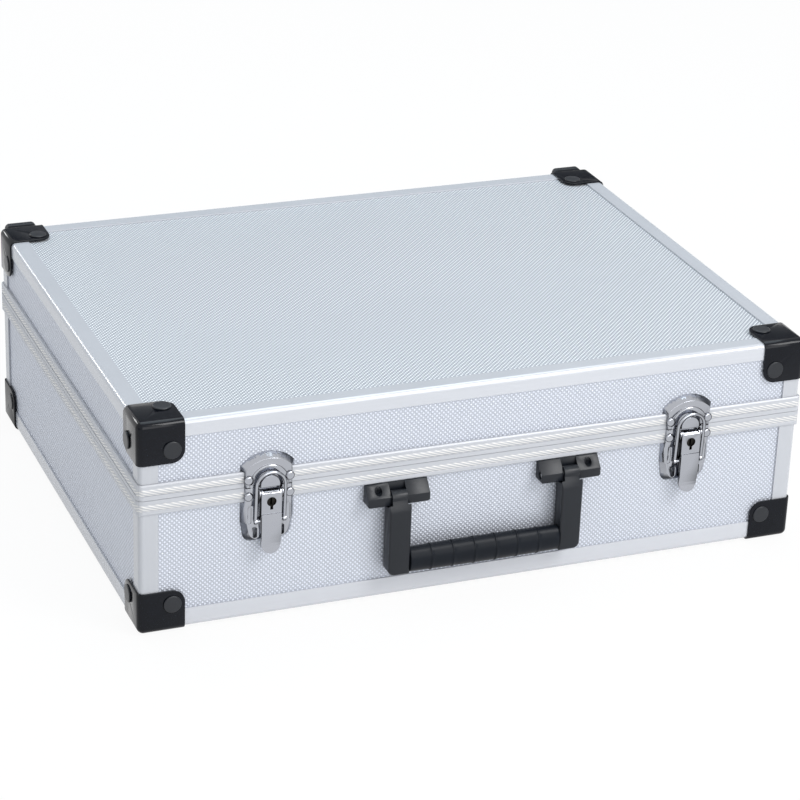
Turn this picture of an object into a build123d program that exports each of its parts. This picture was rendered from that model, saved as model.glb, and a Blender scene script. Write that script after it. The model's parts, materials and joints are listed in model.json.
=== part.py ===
from build123d import *
import math
import os

# Aluminium tool case: a hinged lid on a deeper base, both framed in extruded edge profiles.
# Millimetres, +Z up. The case is built about its own middle, standing on z = 0, and moved
# along Y at the end so that the origin is under the middle of the overall outline.

# Case body over the edge profiles
CASE_LENGTH = 440
CASE_DEPTH = 332
CASE_HEIGHT = 138
BASE_HEIGHT = 89.2
EDGE_RADIUS = 3

# Sheet and section thicknesses
LEG = 1.0
PANEL = 4.0
PANEL_FIT = 0.1
PANEL_END_FIT = 0.2
BASE_LEG_WIDTH = 12.5
LID_LEG_WIDTH = 10.3
FLAT_LEG_WIDTH = 12.0
MITRE_GAP = 0.05
JOINT_GAP = 0.1

# Closing rails round the mouth
RAIL_PROUD = 1.5
RAIL_HEIGHT = 10
RAIL_WEB = 3
SMOOTH_BAND = 2.9
RIBBED_BAND_END = 7.2
BAND_GROOVE = 0.4
MOUTH_GAP = 0.15
TONGUE_HEIGHT = 3
TONGUE_WIDTH = 1.2
TONGUE_FIT = 0.3

# Corner protectors and their rivets
PROTECTOR = 1.2
PROTECTOR_SEAT = 0.05
FLAP_WIDTH = 29.5
FLAP_HEIGHT = 27.7
FLAP_CORNER = 8.5
FLAP_RIVET_IN = 21.5
FLAP_RIVET_DOWN = 18.8
DISC_RADIUS = 5.65
DISC_HEIGHT = 1.0
SHANK_RADIUS = 2.0
SHANK_FIT = 0.1
WASHER_RADIUS = 4.0
WASHER = 0.8
FOOT_WIDTH = 21
FOOT_HEIGHT = 25
FOOT_FROM_CORNER = 5
FOOT_REACH = 6.8
FOOT_RECESS = 3.0

# Lining
WALL_LINING_IN = 8.9
FLOOR_LINING_IN = 7.5
LINING = 2.0

# Latches, measured outward from the front of the edge profiles and up from the case bottom
LATCH_X = CASE_LENGTH / 2 - 80
PLATE_HALF = 17
PLATE_FRONT = 3.4
PLATE_SHEET = 1.0
PLATE_BEVEL = 3.0
STRIKE_ARCH = 23
SHIELD_SHOULDER_Z = BASE_HEIGHT - 23.2
SHIELD_BOTTOM_Z = BASE_HEIGHT - 37.7
SHIELD_FOOT_HALF = 14.6
SHIELD_CORNER = 6
PLATE_RECESS_Z = BASE_HEIGHT - 18.2
PLATE_RECESS_X = 12.3
PLATE_SLOT_Z = BASE_HEIGHT - 30.2
PLATE_SLOT_X = 8.6
BLADE_SLOT_HALF = 4.1
PLATE_GAP = 0.3
LATCH_RIVET_X = 13
LATCH_RIVET_UP = 5.4
LATCH_RIVET_DOWN = 5.5
HOOD_RADIUS = 12.4
HOOD_FRONT = 4.2
CATCH_HALF = 6.3
CATCH_FRONT = 6.0
CATCH_BOTTOM = 0.4
BAIL_WIRE = 1.1
BAIL_HALF = 9.05
BAIL_PIVOT_Z = BASE_HEIGHT - 21.7
BAIL_PIVOT_OUT = 5.4
BAIL_ARCH_UP = 23.6
BAIL_LEAN = 3.75
BAIL_EYE = 1.7
BAIL_EYE_HALF = 0.95
BAIL_PIN = 0.9
LEVER_PIVOT_Z = BASE_HEIGHT - 2.7
LEVER_PIVOT_OUT = 6.2
LEVER_PIN = 1.0
LEVER_HALF = 6.4
LEVER_SHEET = 1.1
LEVER_TOP_Z = BASE_HEIGHT - 2
LOCK_FRONT = 8.4
TONGUE_TOP_Z = BASE_HEIGHT - 16.2
TONGUE_TIP_Z = BASE_HEIGHT - 42.7
TONGUE_HALF = 6.25
EAR_INNER = 6.7
EAR = 0.9
PIN_FIT = 0.05
KEY_Z = BASE_HEIGHT - 8.2
KEY_HOLE = 3.0
BARREL = 4.2

# Carrying handle
BRACKET_X = 57.5
BRACKET_HALF = 20.2
BRACKET_BOTTOM_Z = BASE_HEIGHT - 23.2
BRACKET_EDGE_Z = BRACKET_BOTTOM_Z + 6
BRACKET_TOP_Z = BRACKET_BOTTOM_Z + 13.1
OUTER_SCREW_IN = 7.5
OUTER_SCREW_Z = BRACKET_BOTTOM_Z + 9.6
INNER_SCREW_IN = 7
INNER_SCREW_Z = BRACKET_BOTTOM_Z + 9
BRACKET_FRONT = 8
BRACKET_BACK = 1.2
HUB_SLOT_HALF = 5.3
HUB_HALF = 5.0
HANDLE_PIVOT_Z = BRACKET_BOTTOM_Z + 5
HANDLE_PIVOT_OUT = 5.6
HANDLE_PIN = 1.5
HUB_RADIUS = 4.2
ARM_HALF = 7
ARM_CLEAR = 6.2
ARM_BACK = 2.2
ARM_FRONT = 12
ARM_BOTTOM_Z = HANDLE_PIVOT_Z - 51.5
GRIP_HALF = 50
GRIP_OUT = 7.5
GRIP_Z = HANDLE_PIVOT_Z - 43.5
GRIP_HEIGHT = 17.6
GRIP_THICK = 12.2
GRIP_RING = 0.35

# Rear hinges
HINGE_X = LATCH_X
HINGE_HALF = 30
HINGE_AXIS_OUT = 4.3
KNUCKLE = 2.3
HINGE_PIN = 1.1
LEAF = 1.4
KNUCKLE_HALF = 10
HINGE_RIVET_X = 20
HINGE_RIVET_Z = 6.0

# Lid stays
STAY_X = CASE_LENGTH / 2 - 13
STAY_SHEET = 2.0
STAY_LID_IN = 55
STAY_LID_UP = 20
STAY_BASE_IN = 150
STAY_BASE_DOWN = 20
STAY_STUD = 2.5
STAY_SLOT_FIT = 0.35
LID_ANGLE = 95

# Worked out from the sizes above
REST_CLEAR = PROTECTOR + DISC_HEIGHT
BOTTOM_Z = REST_CLEAR
TOP_Z = BOTTOM_Z + CASE_HEIGHT
MOUTH_Z = BOTTOM_Z + BASE_HEIGHT
MIDDLE_Z = (BOTTOM_Z + TOP_Z) / 2
HALF_LENGTH = CASE_LENGTH / 2
HALF_DEPTH = CASE_DEPTH / 2
PANEL_OUT = LEG + PANEL_FIT
PANEL_IN = PANEL_OUT + PANEL
LIP_OUT = PANEL_IN + PANEL_FIT
LIP_IN = LIP_OUT + LEG
HINGE_Y = HALF_DEPTH + HINGE_AXIS_OUT
FRONT_REACH = GRIP_OUT + GRIP_THICK / 2 + GRIP_RING
CENTRE_SHIFT = (FRONT_REACH - FOOT_REACH) / 2


# Small helpers
def rect(d0, z0, d1, z1):
    """Rectangle between two corners of a cross-section."""
    middle = Pos((d0 + d1) / 2, (z0 + z1) / 2)
    return middle * Rectangle(abs(d1 - d0), abs(z1 - z0))


def block(x0, y0, z0, x1, y1, z1):
    """Box between two corners."""
    middle = Pos((x0 + x1) / 2, (y0 + y1) / 2, (z0 + z1) / 2)
    return middle * Box(abs(x1 - x0), abs(y1 - y0), abs(z1 - z0))


def outline(points):
    """Face inside a closed run of straight edges."""
    return make_face(Polyline(*points, close=True))


def rod_x(y, z, x0, x1, radius):
    """Cylinder along X between two stations."""
    middle = Pos((x0 + x1) / 2, y, z)
    return middle * Rot(0, 90, 0) * Cylinder(radius, abs(x1 - x0))


def rod_y(x, z, y0, y1, radius):
    """Cylinder along Y between two stations."""
    middle = Pos(x, (y0 + y1) / 2, z)
    return middle * Rot(90, 0, 0) * Cylinder(radius, abs(y1 - y0))


def front(out):
    """Y of a plane this far in front of the edge profiles."""
    return -HALF_DEPTH - out


def front_plane(out):
    """Drawing plane that faces forward, local x along X and local y up."""
    return Plane(origin=(0, front(out), 0), x_dir=(1, 0, 0), z_dir=(0, -1, 0))


def front_slab(face, out0, out1):
    """Front-view outline given thickness between two distances in front."""
    return extrude(front_plane(out0) * face, amount=out1 - out0)


def side_slab(points, x0, x1):
    """Side-view outline of (outward, height) points given thickness along X."""
    plane = Plane(origin=(x0, -HALF_DEPTH, 0), x_dir=(0, -1, 0), z_dir=(-1, 0, 0))
    return extrude(plane * outline(points), amount=x0 - x1)


def rounded_box(grow, radius):
    """Outer envelope of the case, grown evenly, with every edge rounded."""
    size = (CASE_LENGTH + 2 * grow, CASE_DEPTH + 2 * grow, CASE_HEIGHT + 2 * grow)
    box = Pos(0, 0, MIDDLE_Z) * Box(*size)
    return fillet(box.edges(), radius)


def mirrored_x(shape):
    return mirror(shape, about=Plane.YZ)


def mirrored_y(shape):
    return mirror(shape, about=Plane.XZ)


def both_sides(shape):
    return [shape, mirrored_x(shape)]


def group(shapes):
    """One node made of separate solids."""
    solids = []
    for shape in shapes:
        solids += list(shape.solids())
    return Compound(solids)


# Mitred frames: one section run along all four walls
def mitre(half_width, half_length, reach=5, deep=20):
    """Footprint of one side of a frame, cut at 45 degrees at both ends."""
    wide = half_length + reach - MITRE_GAP
    narrow = half_length - deep - MITRE_GAP
    near = -half_width - reach
    far = -half_width + deep
    face = outline([(-wide, near), (wide, near), (narrow, far), (-narrow, far)])
    return extrude(face, amount=TOP_Z + reach)


def frame_side(section, half_width, half_length, envelope):
    plane = Plane(origin=(0, -half_width, 0), x_dir=(0, 1, 0), z_dir=(1, 0, 0))
    run = extrude(plane * section, amount=half_length + 5, both=True)
    return run & mitre(half_width, half_length) & envelope


def frame(section, envelope):
    """Front, back, left and right runs of a section given in (inward, height)."""
    along_front = frame_side(section, HALF_DEPTH, HALF_LENGTH, envelope)
    turned = Rot(0, 0, 90) * envelope
    along_side = frame_side(section, HALF_LENGTH, HALF_DEPTH, turned)
    left = Rot(0, 0, -90) * along_side
    return [along_front, mirrored_y(along_front), left, mirrored_x(left)]


def edge_section(outer_z, up, wall_leg):
    """Edge profile: two outer legs, two inner lips, and the square web between."""
    def strip(d0, h0, d1, h1):
        return rect(d0, outer_z + up * h0, d1, outer_z + up * h1)

    section = strip(0, 0, LIP_IN, LIP_IN)
    section += strip(0, 0, LEG, wall_leg)
    section += strip(0, 0, FLAT_LEG_WIDTH, LEG)
    section += strip(LIP_OUT, 0, LIP_IN, wall_leg)
    section += strip(0, LIP_OUT, FLAT_LEG_WIDTH, LIP_IN)
    return section


def rail_section(up, web_end, tongue):
    """Closing rail: smooth band, round bead, lip, and a slot for the wall panel."""
    def at(d, h):
        return (d, MOUTH_Z + up * h)

    groove = -RAIL_PROUD + BAND_GROOVE
    bead_middle = (SMOOTH_BAND + RIBBED_BAND_END) / 2
    lip = -RAIL_PROUD + 0.15
    bead = ThreePointArc(
        at(groove, SMOOTH_BAND), at(-RAIL_PROUD, bead_middle), at(groove, RIBBED_BAND_END)
    )
    points = [at(groove, RIBBED_BAND_END), at(lip, RIBBED_BAND_END + 0.2), at(lip, RAIL_HEIGHT - 0.8)]
    points += [at(lip + 0.7, RAIL_HEIGHT), at(LEG, RAIL_HEIGHT), at(LEG, RAIL_WEB)]
    points += [at(LIP_OUT, RAIL_WEB), at(LIP_OUT, RAIL_HEIGHT), at(LIP_IN, RAIL_HEIGHT)]
    points += [at(LIP_IN, RAIL_WEB), at(web_end, RAIL_WEB)]
    if tongue:
        points += [at(web_end, -TONGUE_HEIGHT), at(web_end - TONGUE_WIDTH, -TONGUE_HEIGHT)]
        points += [at(web_end - TONGUE_WIDTH, MOUTH_GAP)]
    else:
        points += [at(web_end, MOUTH_GAP)]
    points += [at(-RAIL_PROUD, MOUTH_GAP), at(-RAIL_PROUD, SMOOTH_BAND), at(groove, SMOOTH_BAND)]
    return make_face([bead] + list(Polyline(*points).edges()))


def corner_section():
    """Plan of the upright corner profile, with the case corner at the origin."""
    section = rect(0, 0, LIP_IN, LIP_IN)
    section += rect(0, 0, LEG, FLAT_LEG_WIDTH)
    section += rect(0, 0, FLAT_LEG_WIDTH, LEG)
    section += rect(LIP_OUT, 0, LIP_IN, FLAT_LEG_WIDTH)
    section += rect(0, LIP_OUT, FLAT_LEG_WIDTH, LIP_IN)
    return section


def corner_posts(z0, z1, envelope):
    place = Pos(-HALF_LENGTH, -HALF_DEPTH, z0)
    post = extrude(place * corner_section(), amount=z1 - z0) & envelope
    pair = both_sides(post)
    return pair + [mirrored_y(one) for one in pair]


# Wall and face panels
def wall_panels(z0, z1):
    """Front, back, left and right wall panels between two heights."""
    long_end = HALF_LENGTH - LIP_IN - PANEL_END_FIT
    short_end = HALF_DEPTH - LIP_IN - PANEL_END_FIT
    near = block(-long_end, front(-PANEL_OUT), z0, long_end, front(-PANEL_IN), z1)
    left = block(-HALF_LENGTH + PANEL_OUT, -short_end, z0, -HALF_LENGTH + PANEL_IN, short_end, z1)
    return {"front": near, "back": mirrored_y(near), "left": left, "right": mirrored_x(left)}


def face_panel(outer_z, up):
    long_end = HALF_LENGTH - LIP_IN - PANEL_END_FIT
    short_end = HALF_DEPTH - LIP_IN - PANEL_END_FIT
    z0 = outer_z + up * PANEL_OUT
    z1 = outer_z + up * PANEL_IN
    return block(-long_end, -short_end, z0, long_end, short_end, z1)


def face_lining(outer_z, up):
    x = HALF_LENGTH - WALL_LINING_IN
    y = HALF_DEPTH - WALL_LINING_IN
    z0 = outer_z + up * FLOOR_LINING_IN
    z1 = z0 + up * LINING
    return block(-x, -y, z0, x, y, z1)


def wall_linings(z0, z1):
    inner = WALL_LINING_IN + LINING
    x = HALF_LENGTH - inner - 0.1
    y = HALF_DEPTH - WALL_LINING_IN
    near = block(-x, front(-WALL_LINING_IN), z0, x, front(-inner), z1)
    left = block(-HALF_LENGTH + WALL_LINING_IN, -y, z0, -HALF_LENGTH + inner, y, z1)
    return [near, mirrored_y(near), left, mirrored_x(left)]


# Corner protectors
def flap(wide, tall, reach):
    """One flap in its own plane, the case corner at the origin, inner corner rounded."""
    face = rect(-reach, -reach, wide, tall)
    corner = face.vertices().sort_by(Axis.X)[-2:].sort_by(Axis.Y)[-1]
    return fillet(corner, FLAP_CORNER)


def protector_shell():
    outer = rounded_box(PROTECTOR, EDGE_RADIUS + PROTECTOR)
    inner = rounded_box(PROTECTOR_SEAT, EDGE_RADIUS + PROTECTOR_SEAT)
    return outer - inner


def lower_front_left_protector(shell):
    """Protector on the lower front left corner with its three rivet holes."""
    x0 = -HALF_LENGTH - PROTECTOR
    y0 = -HALF_DEPTH - PROTECTOR
    z0 = BOTTOM_Z - PROTECTOR
    deep = EDGE_RADIUS + PROTECTOR + 0.1
    near = Plane(origin=(x0, y0 + deep, z0), x_dir=(1, 0, 0), z_dir=(0, -1, 0))
    left = Plane(origin=(x0 + deep, y0, z0), x_dir=(0, 1, 0), z_dir=(1, 0, 0))
    under = Plane(origin=(x0, y0, z0 + deep), x_dir=(1, 0, 0), z_dir=(0, 0, 1))
    region = extrude(near * flap(FLAP_WIDTH, FLAP_HEIGHT, 1), amount=deep + 1)
    region += extrude(left * flap(FLAP_WIDTH, FLAP_HEIGHT, 1), amount=-deep - 1)
    region += extrude(under * flap(FLAP_WIDTH, FLAP_WIDTH, 1), amount=-deep - 1)
    piece = shell & region
    for place in flap_rivet_places():
        piece -= place * Cylinder(SHANK_RADIUS + SHANK_FIT, 20)
    return piece


def flap_rivet_places():
    """Seats of the three rivets, each with its Z axis pointing out of the flap."""
    x0 = -HALF_LENGTH - PROTECTOR
    y0 = -HALF_DEPTH - PROTECTOR
    z0 = BOTTOM_Z - PROTECTOR
    near = Plane(
        origin=(x0 + FLAP_RIVET_IN, y0, z0 + FLAP_RIVET_DOWN), x_dir=(1, 0, 0), z_dir=(0, -1, 0)
    )
    left = Plane(
        origin=(x0, y0 + FLAP_RIVET_IN, z0 + FLAP_RIVET_DOWN), x_dir=(0, 1, 0), z_dir=(-1, 0, 0)
    )
    under = Plane(
        origin=(x0 + FLAP_RIVET_IN, y0 + FLAP_RIVET_IN, z0), x_dir=(1, 0, 0), z_dir=(0, 0, -1)
    )
    return [Location(near), Location(left), Location(under)]


def disc_rivet():
    """Disc-headed rivet, washer and upset tail; the underside of the head is at z = 0."""
    head = Pos(0, 0, DISC_HEIGHT / 2) * Cylinder(DISC_RADIUS, DISC_HEIGHT)
    head = fillet(head.edges().group_by(Axis.Z)[-1], 0.6)
    depth = PROTECTOR + PANEL_IN
    shank = Pos(0, 0, -depth / 2) * Cylinder(SHANK_RADIUS, depth)
    washer = Pos(0, 0, -depth - WASHER / 2) * Cylinder(WASHER_RADIUS, WASHER)
    tail = Pos(0, 0, -depth - WASHER - 0.3) * Cylinder(SHANK_RADIUS + 0.8, 0.6)
    return head + shank + washer + tail


def foot_rivet():
    """Smaller-headed rivet that also holds a stand foot, head sunk in the foot."""
    seat = FOOT_REACH - PROTECTOR - FOOT_RECESS
    head = Pos(0, 0, seat + 0.6) * Cylinder(DISC_RADIUS - 1.9, 1.2)
    head = fillet(head.edges().group_by(Axis.Z)[-1], 0.6)
    bottom = -PROTECTOR - PANEL_IN
    shank = Pos(0, 0, (seat + bottom) / 2) * Cylinder(SHANK_RADIUS, seat - bottom)
    washer = Pos(0, 0, bottom - WASHER / 2) * Cylinder(WASHER_RADIUS, WASHER)
    tail = Pos(0, 0, bottom - WASHER - 0.3) * Cylinder(SHANK_RADIUS + 0.8, 0.6)
    return head + shank + washer + tail


def stand_foot():
    """Foot on the lower rear left protector, its bore round the rivet head."""
    x0 = -HALF_LENGTH - PROTECTOR + FOOT_FROM_CORNER
    y0 = HALF_DEPTH + PROTECTOR
    y1 = HALF_DEPTH + FOOT_REACH
    z0 = BOTTOM_Z - PROTECTOR
    foot = block(x0, y0, z0, x0 + FOOT_WIDTH, y1, z0 + FOOT_HEIGHT)
    foot = fillet(foot.edges().filter_by(Axis.Y), 3)
    foot = fillet(foot.edges().group_by(Axis.Y)[-1], 1.2)
    x = -HALF_LENGTH - PROTECTOR + FLAP_RIVET_IN
    z = z0 + FLAP_RIVET_DOWN
    foot -= rod_y(x, z, y0 - 1, y1 + 1, SHANK_RADIUS + SHANK_FIT)
    foot -= rod_y(x, z, y1 - FOOT_RECESS, y1 + 1, DISC_RADIUS - 1.5)
    return foot


def mirrored_z(shape):
    about = Plane(origin=(0, 0, MIDDLE_Z), z_dir=(0, 0, 1))
    return mirror(shape, about=about)


def corner_copies(shape):
    """A lower front left shape at all four lower corners, front pair first."""
    right = mirrored_x(shape)
    return [shape, right, mirrored_y(shape), mirrored_y(right)]


# Latches, drawn at X = 0 and placed left and right
def strike_face(inset, drop=0):
    half = PLATE_HALF - inset
    radius = STRIKE_ARCH - inset
    centre = MOUTH_Z - 1.7
    bottom = MOUTH_Z + PLATE_GAP - drop
    shoulder = centre + math.sqrt(radius**2 - half**2)
    arch = ThreePointArc((half, shoulder), (0, centre + radius), (-half, shoulder))
    sides = Polyline((-half, shoulder), (-half, bottom), (half, bottom), (half, shoulder))
    return make_face([arch] + list(sides.edges()))


def shield_face(inset, rise=0):
    """Front view of the lower plate: straight sides, then a taper to a foot with round corners."""
    half = PLATE_HALF - inset
    foot = SHIELD_FOOT_HALF - inset
    top = MOUTH_Z - PLATE_GAP + rise
    shoulder = BOTTOM_Z + SHIELD_SHOULDER_Z
    bottom = BOTTOM_Z + SHIELD_BOTTOM_Z + inset
    face = outline([(-half, top), (half, top), (half, shoulder), (foot, bottom), (-foot, bottom), (-half, shoulder)])
    corners = face.vertices().group_by(Axis.Y)[0]
    return fillet(corners, SHIELD_CORNER)


def dished(face_at):
    """Pressed plate: a flat front with a bevelled rim that reaches back to the panel."""
    seat = -PANEL_OUT + 0.05
    skin = loft([front_plane(seat) * face_at(0), front_plane(PLATE_FRONT) * face_at(PLATE_BEVEL)], ruled=True)
    inside = PLATE_SHEET * 1.25
    back = seat - 0.1
    under = PLATE_FRONT - PLATE_SHEET
    hollow = loft(
        [front_plane(back) * face_at(inside, 2), front_plane(under) * face_at(PLATE_BEVEL + inside, 2)],
        ruled=True,
    )
    rail = block(-30, front(RAIL_PROUD + 0.05), MOUTH_Z - RAIL_HEIGHT - JOINT_GAP,
                 30, front(-10), MOUTH_Z + RAIL_HEIGHT + JOINT_GAP)
    return skin - hollow - rail


def latch_rivet_holes(shape, z):
    for x in (-LATCH_RIVET_X, LATCH_RIVET_X):
        shape -= rod_y(x, z, front(-10), front(10), 1.6)
    return shape


def catch_outline(half, bottom):
    """Front view of a block with a round top about the centre of the bail arch."""
    centre = MOUTH_Z + 2
    arch = ThreePointArc((half, centre), (0, centre + half), (-half, centre))
    sides = Polyline((-half, centre), (-half, bottom), (half, bottom), (half, centre))
    return make_face([arch] + list(sides.edges()))


def strike_plate():
    plate = dished(strike_face)
    hood = front_slab(catch_outline(HOOD_RADIUS, MOUTH_Z + PLATE_GAP), PLATE_FRONT - 0.5, HOOD_FRONT)
    hood = chamfer(hood.faces().sort_by(Axis.Y)[0].edges().filter_by(GeomType.LINE, reverse=True), 0.5)
    for x in (-LATCH_RIVET_X, LATCH_RIVET_X):
        hood -= rod_y(x, MOUTH_Z + LATCH_RIVET_UP, front(PLATE_FRONT), front(20), 3.2)
    catch = front_slab(catch_outline(CATCH_HALF, MOUTH_Z + CATCH_BOTTOM), PLATE_FRONT, CATCH_FRONT)
    catch = chamfer(catch.faces().sort_by(Axis.Y)[0].edges(), 0.4)
    return latch_rivet_holes(plate + hood + catch, MOUTH_Z + LATCH_RIVET_UP)


def lever_pivot():
    return front(LEVER_PIVOT_OUT), BOTTOM_Z + LEVER_PIVOT_Z


def latch_base_plate():
    """Shield-shaped plate with two ears for the lever and a slot for the lock blade."""
    plate = dished(shield_face)
    y, z = lever_pivot()
    top = MOUTH_Z - PLATE_GAP
    round_end = LEVER_PIN + 1.2
    profile = [(PLATE_FRONT - 0.5, z - 8), (PLATE_FRONT - 0.5, top)]
    profile += [(LEVER_PIVOT_OUT, top), (LEVER_PIVOT_OUT + round_end, z), (LEVER_PIVOT_OUT + 1.4, z - 3)]
    for side in (-1, 1):
        x0 = side * EAR_INNER
        x1 = side * (EAR_INNER + EAR)
        ear = side_slab(profile, min(x0, x1), max(x0, x1))
        ear += rod_x(y, z, x0, x1, round_end)
        plate += ear
        recess = Pos(side * PLATE_RECESS_X, BOTTOM_Z + PLATE_RECESS_Z) * SlotCenterToCenter(9, 2.2, rotation=90)
        plate -= front_slab(recess, PLATE_FRONT - 0.5, 10)
        slot = Pos(side * PLATE_SLOT_X, BOTTOM_Z + PLATE_SLOT_Z) * SlotCenterToCenter(4.5, 2.6, rotation=90)
        plate -= front_slab(slot, 0, 10)
    plate -= rod_x(y, z, -20, 20, LEVER_PIN + 0.02)
    key_z = BOTTOM_Z + KEY_Z
    plate -= front_slab(rect(-1.2, key_z - BLADE_SLOT_HALF - 0.5, 1.2, key_z + BLADE_SLOT_HALF - 0.5), 0, 10)
    return latch_rivet_holes(plate, MOUTH_Z - LATCH_RIVET_DOWN)


def latch_rivet(z):
    """Round-headed rivet through plate, rail and panel."""
    head = rod_y(0, z, front(PLATE_FRONT), front(PLATE_FRONT + 1.3), 2.9)
    head = fillet(head.edges().group_by(Axis.Y)[0], 1.1)
    shank = rod_y(0, z, front(PLATE_FRONT), front(-LIP_IN), 1.5)
    tail = rod_y(0, z, front(-LIP_IN), front(-LIP_IN - 0.7), 2.1)
    return head + shank + tail


def lever():
    """Channel-shaped lever: lock plate above, finger tongue below, bail pin riveted across."""
    y, z = lever_pivot()
    base = BOTTOM_Z
    inner = LOCK_FRONT - 1.2
    lock = [(inner, base + TONGUE_TOP_Z - 2), (LOCK_FRONT, base + TONGUE_TOP_Z - 2)]
    lock += [(LOCK_FRONT, base + LEVER_TOP_Z - 0.6), (LOCK_FRONT - 0.6, base + LEVER_TOP_Z)]
    lock += [(inner, base + LEVER_TOP_Z)]
    body = side_slab(lock, -LEVER_HALF, LEVER_HALF)
    tip = base + TONGUE_TIP_Z
    tongue = [(LOCK_FRONT + 0.5, base + TONGUE_TOP_Z), (LOCK_FRONT + 0.5, tip + 11)]
    tongue += [(LOCK_FRONT - 0.5, tip + 6.5), (LOCK_FRONT - 0.5, tip + 4), (LOCK_FRONT + 0.8, tip)]
    tongue += [(LOCK_FRONT - 0.4, tip), (LOCK_FRONT - 1.7, tip + 4), (LOCK_FRONT - 1.7, tip + 6.5)]
    tongue += [(inner, tip + 11), (inner, base + TONGUE_TOP_Z)]
    blade = side_slab(tongue, -TONGUE_HALF, TONGUE_HALF)
    centre = tip + TONGUE_HALF
    arch = ThreePointArc((-TONGUE_HALF, centre), (0, tip), (TONGUE_HALF, centre))
    top = base + TONGUE_TOP_Z
    sides = Polyline((TONGUE_HALF, centre), (TONGUE_HALF, top), (-TONGUE_HALF, top), (-TONGUE_HALF, centre))
    blade &= front_slab(make_face([arch] + list(sides.edges())), 0, 20)
    body += blade
    cheek_end = base + BAIL_PIVOT_Z - 1.5
    wall = [(4.2, cheek_end), (inner + 0.1, cheek_end - 6), (inner + 0.1, z), (4.1, z)]
    for side in (-1, 1):
        x0 = side * (LEVER_HALF - LEVER_SHEET)
        x1 = side * LEVER_HALF
        cheek = side_slab(wall, min(x0, x1), max(x0, x1))
        cheek += rod_x(y, z, x0, x1, 2.0)
        body += cheek
    body -= rod_x(y, z, -20, 20, LEVER_PIN + PIN_FIT)
    reach = BAIL_HALF + BAIL_WIRE
    body += rod_x(front(BAIL_PIVOT_OUT), base + BAIL_PIVOT_Z, -reach, reach, BAIL_PIN)
    body -= rod_y(0, base + KEY_Z, front(inner - 1), front(20), KEY_HOLE)
    body -= front_slab(rect(-0.9, base + KEY_Z - 5.2, 0.9, base + KEY_Z), inner - 1, 20)
    return body


def bail():
    """Wire loop with an eye at each end, leaning slightly outward."""
    y = front(BAIL_PIVOT_OUT)
    z = BOTTOM_Z + BAIL_PIVOT_Z
    shoulder = z + BAIL_ARCH_UP
    top = shoulder + BAIL_HALF
    path = Line((-BAIL_HALF, y, z), (-BAIL_HALF, y, shoulder))
    path += ThreePointArc((-BAIL_HALF, y, shoulder), (0, y, top), (BAIL_HALF, y, shoulder))
    path += Line((BAIL_HALF, y, shoulder), (BAIL_HALF, y, z))
    start = Plane(origin=(-BAIL_HALF, y, z), z_dir=(0, 0, 1))
    loop = sweep(start * Circle(BAIL_WIRE), path=path)
    for side in (-1, 1):
        inner = side * (BAIL_HALF - BAIL_EYE_HALF)
        outer = side * (BAIL_HALF + BAIL_EYE_HALF)
        loop += rod_x(y, z, inner, outer, BAIL_EYE)
    loop -= rod_x(y, z, -20, 20, BAIL_PIN + PIN_FIT)
    lean = Pos(0, y, z) * Rot(BAIL_LEAN, 0, 0) * Pos(0, -y, -z)
    return lean * loop


def lock_barrel():
    """Key barrel with keyway, and the stem and blade that turn behind the plate."""
    z = BOTTOM_Z + KEY_Z
    face = LOCK_FRONT - 1.3
    barrel = rod_y(0, z, front(4.1), front(face), BARREL)
    barrel -= front_slab(rect(-0.6, z - 2.6, 0.6, z + 2.6), face - 2, 20)
    barrel += rod_y(0, z, front(2.2), front(4.2), 0.75)
    barrel += block(-0.75, front(1.75), z - 3.2, 0.75, front(2.25), z + 3.2)
    return barrel


# Handle
def bracket():
    """Handle bracket: two wedge blocks on one back plate, drawn on the left side."""
    base = BOTTOM_Z
    seat = -PANEL_OUT + 0.05
    wedge = [(seat, base + BRACKET_BOTTOM_Z), (BRACKET_FRONT, base + BRACKET_BOTTOM_Z)]
    wedge += [(BRACKET_FRONT, base + BRACKET_EDGE_Z)]
    wedge += [(1.6, base + BRACKET_TOP_Z), (seat, base + BRACKET_TOP_Z)]
    x0 = -BRACKET_X - BRACKET_HALF
    x1 = -BRACKET_X + BRACKET_HALF
    body = side_slab(wedge, x0, x1)
    body = chamfer(body.edges().filter_by(Axis.Y).group_by(Axis.Z)[0], 1.2)
    body = fillet(body.edges().filter_by(Axis.X).sort_by(Axis.Y)[:1], 1.0)
    body -= block(-BRACKET_X - HUB_SLOT_HALF, front(BRACKET_BACK), base + BRACKET_BOTTOM_Z - 1,
                  -BRACKET_X + HUB_SLOT_HALF, front(20), base + BRACKET_TOP_Z + 1)
    y = front(HANDLE_PIVOT_OUT)
    z = base + HANDLE_PIVOT_Z
    body -= rod_x(y, z, x0 + 2, x1 + 1, HANDLE_PIN + 0.02)
    body -= rod_x(y, z, x1 - 1.5, x1 + 1, HANDLE_PIN + 0.9)
    outer_x = x0 + OUTER_SCREW_IN
    body -= rod_y(outer_x, base + OUTER_SCREW_Z, front(1.6), front(12), 2.4)
    body -= rod_y(outer_x, base + OUTER_SCREW_Z, front(-10), front(12), 1.6)
    body -= rod_y(x1 - INNER_SCREW_IN, base + INNER_SCREW_Z, front(-10), front(3.5), 1.3)
    return body


def screw_places():
    """Outer and inner screw of the left bracket, as (x, z)."""
    outer = (-BRACKET_X - BRACKET_HALF + OUTER_SCREW_IN, BOTTOM_Z + OUTER_SCREW_Z)
    inner = (-BRACKET_X + BRACKET_HALF - INNER_SCREW_IN, BOTTOM_Z + INNER_SCREW_Z)
    return outer, inner


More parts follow.
